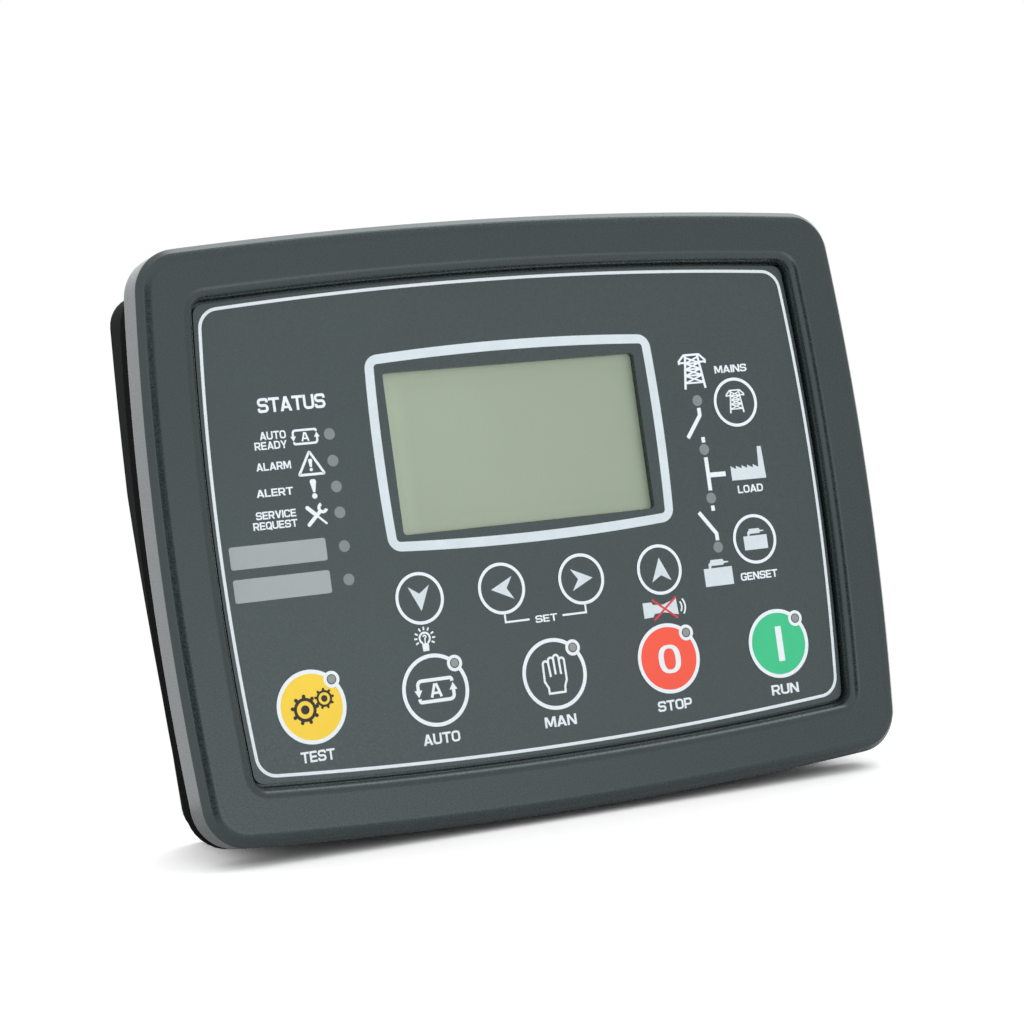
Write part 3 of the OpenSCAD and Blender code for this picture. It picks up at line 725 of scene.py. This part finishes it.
def all_print():
    K = EMBOSS
    w = Print()
    # Border line and display frame
    w.loop(border(83.12, 58.97, 1040, 595, 5.4, 0.72), border(82.33, 58.18, 1040, 595, 4.65, 0.72))
    f = Print()
    f.loop(border(40.3, 25.4, 560, 400, 3.6, 18.4), border(37.85, 22.95, 620, 460, 1.0, 18.4))
    f.build("display_border", MAT["frame"], slot="keypad_film")
    g = Print()
    # Status column
    w.word("STATUS", -68.45, -50.95, 32.75, 36.3, gap=3.0)
    w.word("AUTO", -68.9, -62.2, 26.25, 28.2)
    w.word("READY", -70.5, -62.2, 23.9, 25.8)
    w.word("ALARM", -70.8, -61.9, 18.9, 20.8)
    w.word("ALERT", -71.6, -62.2, 12.65, 14.5)
    w.word("SERVICE", -72.5, -62.2, 7.35, 9.2)
    w.word("REQUEST", -73.5, -62.2, 4.9, 6.75)
    arrow_loop(w, -57.35, 26.2, 6.1, 3.3, 0.55, 0.0, 0.72)
    tri = [(-56.85, 22.55, 0.15), (-60.15, 17.0, 0.15), (-53.55, 17.0, 0.15)]
    w.stroke(tri, 0.62, closed=True)
    w.poly([(-57.15, 18.75), (-56.6, 18.75), (-56.35, 20.45), (-56.5, 20.75), (-57.2, 20.75), (-57.4, 20.45)])
    w.disc(-56.88, 18.15, 0.42, n=24)
    w.poly([(-57.15, 12.65), (-56.6, 12.65), (-56.05, 15.2), (-56.2, 15.65), (-56.5, 15.82), (-57.25, 15.82), (-57.55, 15.65), (-57.7, 15.2)])
    w.disc(-56.88, 11.75, 0.68, n=32)
    w.stroke([(-59.2, 9.05), (-57.45, 7.45)], 1.0, round_ends=True)
    w.stroke([(-57.5, 7.5), (-54.75, 4.95)], 0.52, round_ends=True)
    w.stroke([(-59.25, 4.95), (-56.15, 7.85)], 0.92, round_ends=True)
    w.stroke(arc(-55.25, 8.75, 0.98, 108, 342, 18), 0.78)
    # Mains, load and set
    pylon(w, 51.5, 29.4, 38.5, 0.0)
    w.word("MAINS", 57.8, 67.4, 32.85, 34.8)
    w.stroke([(51.6, 24.4), (51.6, 22.45), (47.25, 16.9)], 1.05)
    w.stroke([(51.6, 16.8), (51.6, 15.4)], 1.05)
    w.stroke([(51.6, 11.55), (51.6, 2.95)], 1.1)
    w.stroke([(52.15, 6.9), (56.75, 6.85)], 1.25)
    w.stroke([(51.6, -0.95), (51.6, -2.3)], 1.05)
    w.stroke([(47.3, -2.35), (51.6, -8.2), (51.6, -9.95)], 1.05)
    g.poly([(58.45, 4.85), (58.45, 8.6), (60.05, 7.75), (60.1, 8.6), (61.75, 7.75), (61.8, 8.6), (63.4, 7.75), (63.45, 8.6), (65.1, 7.7), (65.15, 8.6), (66.75, 7.75), (67.1, 13.1), (68.3, 13.1), (68.65, 4.75)])
    w.word("LOAD", 59.7, 67.2, 1.4, 3.4)
    engine_block(g, 46.35, 54.65, -21.5, -16.9, -14.8, 0.0)
    w.word("GENSET", 56.9, 67.9, -21.05, -19.05)
    # Setting keys
    w.stroke([(-11.15, -22.0), (-11.15, -24.0), (-4.6, -24.0)], 0.5)
    w.stroke([(11.25, -22.0), (11.25, -24.0), (4.6, -24.0)], 0.5)
    w.word("SET", -3.0, 3.1, -25.1, -23.3)
    # Lamp test and horn
    for a in (-28, 0, 28, 62, 90, 118, 152, 180, 208):
        c, s = math.cos(math.radians(a)), math.sin(math.radians(a))
        w.stroke([(-33.35 + 1.95 * c, -25.35 + 1.95 * s), (-33.35 + 2.8 * c, -25.35 + 2.8 * s)], 0.42)
    w.stroke(arc(-33.35, -25.35, 1.35, -62, 242, 30), 0.5)
    w.poly([(-34.15, -26.6), (-32.55, -26.6), (-32.45, -27.2), (-32.55, -28.5), (-34.15, -28.5), (-34.25, -27.2)])
    w.stroke([(-33.75, -25.0), (-33.6, -24.7), (-33.2, -24.65), (-32.95, -25.0), (-33.35, -25.5), (-33.35, -26.6)], 0.34)
    g.poly([(27.4, -27.5), (27.4, -23.6), (29.9, -23.6), (30.3, -24.3), (33.2, -24.5), (37.1, -23.3), (37.35, -27.45), (33.4, -26.5), (30.5, -26.6), (30.0, -27.4)])
    w.stroke(arc(36.4, -25.5, 2.1, -36, 36, 10), 0.42)
    w.stroke(arc(36.4, -25.5, 3.1, -38, 38, 12), 0.45)
    # Captions under the mode keys
    w.word("TEST", -69.2, -60.5, -51.15, -48.5)
    w.word("AUTO", -37.3, -27.5, -51.15, -48.5)
    w.word("MAN", -4.3, 4.5, -51.15, -48.5)
    w.word("STOP", 27.7, 37.6, -51.2, -48.6)
    w.word("RUN", 61.2, 69.3, -51.2, -48.6)
    # Rings round the keys
    for k, (x, z, r) in KEYS.items():
        u, v = uv(k)
        if r > 8:
            w.ring(u, v, 8.88, 7.92, K)
        else:
            w.ring(u, v, 6.41, 5.62, K)
    # What stands on the keys
    u, v = uv("up")
    g.poly([(33.75, -12.6), (31.0, -18.65), (33.75, -17.1), (36.55, -18.65)], K)
    g.poly([(-33.25, -18.75), (-30.45, -12.6), (-33.25, -14.5), (-36.1, -12.6)], K)
    g.poly([(-14.0, -15.68), (-8.0, -12.85), (-9.75, -15.68), (-8.0, -18.5)], K)
    g.poly([(14.3, -15.6), (8.3, -18.4), (10.2, -15.6), (8.3, -12.85)], K)
    pylon(w, 62.75, 22.2, 28.3, K)
    engine_block(g, 59.2, 66.15, -13.4, -9.8, -8.0, K)
    arrow_loop(w, -32.3, -38.15, 9.3, 5.15, 0.86, K, 1.05)
    fingers = [
        [(-1.95, -42.85), (-1.95, -41.5, 0.6), (-2.85, -39.8, 0.8)] + arc(-2.02, -35.55, 0.76, 178, 4, 14) + [(-1.0, -38.8)],
        [(-1.25, -35.5)] + arc(-0.49, -34.78, 0.74, 182, 2, 14) + [(0.4, -38.3)],
        [(0.27, -35.0)] + arc(0.99, -34.28, 0.73, 182, 2, 14) + [(1.9, -38.4)],
        [(1.76, -35.6)] + arc(2.47, -35.08, 0.71, 182, 2, 14) + [(3.25, -39.9, 0.8), (2.55, -41.5, 0.6), (2.5, -42.85)],
        [(-2.15, -42.85), (2.7, -42.85)],
    ]
    for f in fingers:
        w.stroke(f, 0.56, K)
    n = 72
    def oval(a, b):
        pts = []
        for i in range(n):
            c, q = math.cos(2 * math.pi * i / n), math.sin(2 * math.pi * i / n)
            e = (abs(c) ** 2.5 + abs(q) ** 2.5) ** (-1 / 2.5)
            pts.append((32.85 + a * e * c, -38.35 + b * e * q))
        return pts

    w.loop(oval(3.15, 3.6), oval(1.66, 2.68), K + 0.02)
    w.poly([(64.62, -42.75), (66.4, -42.75), (66.4, -33.75), (64.62, -33.75)], K + 0.02)
    w.build("print_white", MAT["white"], slot="keypad_film")
    g.build("print_fills", MAT["frame"], slot="keypad_film")

    for key, mat in (("test", "yellow"), ("stop", "red"), ("run", "green")):
        p = Print(0.025)
        u, v = uv(key)
        p.disc(u, v, 7.95, K, 96)
        p.build("key_field_" + key, MAT[mat], slot="keypad_film")

    d = Print(0.03)
    gear(d, -66.6, -38.65, 3.5, 9, K + 0.02, 1.08)
    gear(d, -61.42, -36.55, 2.45, 9, K + 0.02, 0.8)
    d.build("print_dark", MAT["ink"], slot="keypad_film")

    x = Print(0.05)
    x.stroke([(30.15, -22.95), (37.0, -28.3)], 0.52)
    x.stroke([(37.1, -22.95), (30.15, -28.25)], 0.52, 0.002)
    x.build("print_red", MAT["cross"], slot="keypad_film")

    # Lamp spots: a white collar on each mode key, a dark line and a low clear lens
    c = Mesh()
    ring = Mesh()
    lens = Mesh()
    bright = Mesh()
    for x_, z_ in KEY_LAMPS:
        c.prism(circle(x_, z_, 2.02, 64), Y_FILM, Y_FILM - EMBOSS - 0.05)
        ring.prism(circle(x_, z_, 1.22, 48), Y_FILM - EMBOSS - 0.04, Y_FILM - EMBOSS - 0.065)
        bright.dome(x_, z_, 1.02, Y_FILM - EMBOSS - 0.05, 0.10)
    for x_, z_ in STATUS_LAMPS + MIMIC_LAMPS:
        lens.dome(x_, z_, 1.42, Y_FILM + 0.0, 0.06, 48)
    c.build("lamp_collars", MAT["white"], slot="keypad_film")
    ring.build("lamp_rings", MAT["ink"], slot="keypad_film")
    lens.build("lamp_windows", MAT["lamp"], smooth=40, slot="keypad_film")
    bright.build("key_lamp_windows", MAT["key_lamp"], smooth=40, slot="keypad_film")

    t = Print(0.03)
    t.poly(round_rect(-68.05, -1.17, 24.7, 5.45, 0.6))
    t.poly(round_rect(-68.05, -9.02, 24.7, 5.55, 0.6))
    t.build("legend_windows", MAT["tab"], slot="keypad_film")


all_print()


# ---------------------------------------------------------------- stage, light and camera
def stage():
    # The ground it leans on, under the front edge's foot and the housing's lower rear edge.
    me = bpy.data.meshes.new("floor")

    def ground(y):
        return -0.07435 + (y + 0.0044) * 0.18

    me.from_pydata(
        [(-1.2, -1.5, ground(-1.5)), (1.2, -1.5, ground(-1.5)), (1.2, 0.05, ground(0.05)), (-1.2, 0.05, ground(0.05))],
        [],
        [(0, 1, 2, 3)],
    )
    o = bpy.data.objects.new("floor", me)
    bpy.context.scene.collection.objects.link(o)
    m = bpy.data.materials.new("floor_white")
    m.use_nodes = True
    nt = m.node_tree
    for n in list(nt.nodes):
        nt.nodes.remove(n)
    out = nt.nodes.new("ShaderNodeOutputMaterial")
    paper = nt.nodes.new("ShaderNodeBsdfDiffuse")
    paper.inputs["Color"].default_value = (0.85, 0.85, 0.85, 1)
    # Seen directly, the paper is burnt out as on the print.
    burnt = nt.nodes.new("ShaderNodeBsdfDiffuse")
    burnt.inputs["Color"].default_value = (1.36, 1.36, 1.36, 1)
    lp = nt.nodes.new("ShaderNodeLightPath")
    mix = nt.nodes.new("ShaderNodeMixShader")
    nt.links.new(lp.outputs["Is Camera Ray"], mix.inputs[0])
    nt.links.new(paper.outputs[0], mix.inputs[1])
    nt.links.new(burnt.outputs[0], mix.inputs[2])
    nt.links.new(mix.outputs[0], out.inputs["Surface"])
    me.materials.append(m)

    w = bpy.data.worlds.new("studio")
    bpy.context.scene.world = w
    w.use_nodes = True
    nt = w.node_tree
    for n in list(nt.nodes):
        nt.nodes.remove(n)
    out = nt.nodes.new("ShaderNodeOutputWorld")
    tc = nt.nodes.new("ShaderNodeTexCoord")

    def spot(direction, inner, outer, lo, hi):
        d = Vector(direction).normalized()
        dot = nt.nodes.new("ShaderNodeVectorMath")
        dot.operation = "DOT_PRODUCT"
        dot.inputs[1].default_value = d
        nt.links.new(tc.outputs["Generated"], dot.inputs[0])
        r = nt.nodes.new("ShaderNodeMapRange")
        r.interpolation_type = "SMOOTHSTEP"
        r.inputs["From Min"].default_value = math.cos(math.radians(outer))
        r.inputs["From Max"].default_value = math.cos(math.radians(inner))
        r.inputs["To Min"].default_value = lo
        r.inputs["To Max"].default_value = hi
        nt.links.new(dot.outputs["Value"], r.inputs["Value"])
        return r.outputs["Result"]

    # White surround: lighter behind and to the left, a wide light overhead, a softbox high on the right,
    # a bright patch low in front, and a dark gap straight in front where the room opens.
    base = spot((0, 0.98, 0.20), 38, 88, 0.86, 1.34)
    left = spot((-0.53, -0.848, 0.0), 15, 70, 0.0, 0.34)
    patch = spot((0.2357, -0.9454, -0.225), 4, 20, 0.0, 1.5)
    gap = spot((-0.087, -0.996, 0.02), 11, 17, 1.0, 0.03)
    over = spot((0.40, 0.40, 0.82), 10, 25, 0.0, 1.25)
    soft = spot((0.46, -0.48, 0.747), 7, 12, 0.0, 3.0)

    def combine(kind, a, b):
        n = nt.nodes.new("ShaderNodeMath")
        n.operation = kind
        nt.links.new(a, n.inputs[0])
        nt.links.new(b, n.inputs[1])
        return n.outputs[0]

    room = combine("MULTIPLY", combine("ADD", combine("ADD", base, left), patch), gap)
    total = combine("ADD", combine("ADD", room, over), soft)
    light = nt.nodes.new("ShaderNodeBackground")
    light.inputs["Color"].default_value = (1, 1, 1, 1)
    nt.links.new(total, light.inputs["Strength"])
    seen = nt.nodes.new("ShaderNodeBackground")
    seen.inputs["Color"].default_value = (1, 1, 1, 1)
    seen.inputs["Strength"].default_value = 1.0
    lp = nt.nodes.new("ShaderNodeLightPath")
    mix = nt.nodes.new("ShaderNodeMixShader")
    nt.links.new(lp.outputs["Is Camera Ray"], mix.inputs[0])
    nt.links.new(light.outputs[0], mix.inputs[1])
    nt.links.new(seen.outputs[0], mix.inputs[2])
    nt.links.new(mix.outputs[0], out.inputs["Surface"])

    sc = bpy.context.scene
    sc.view_settings.view_transform = "Standard"
    sc.view_settings.look = "None"
    sc.view_settings.exposure = 0.0
    sc.view_settings.gamma = 1.0

    cam = bpy.data.cameras.new("camera")
    cam.sensor_width = 36.0
    cam.lens = 99.737
    # Half a pixel, so that pixel centres fall as they do on the print.
    cam.shift_x = -0.5 / 1024
    cam.shift_y = 0.5 / 1024
    cam.clip_start = 0.01
    cam.clip_end = 50
    co = bpy.data.objects.new("camera", cam)
    sc.collection.objects.link(co)
    right = (0.89303309, -0.42874623, -0.13663296)
    up = (0.09571254, -0.11570769, 0.98866114)
    back = (-0.43969422, -0.89598460, -0.06229441)
    loc = (-0.313977, -0.640179, -0.042979)
    co.matrix_world = Matrix(
        [[right[i], up[i], back[i], loc[i]] for i in range(3)] + [[0, 0, 0, 1]]
    )
    sc.camera = co


stage()
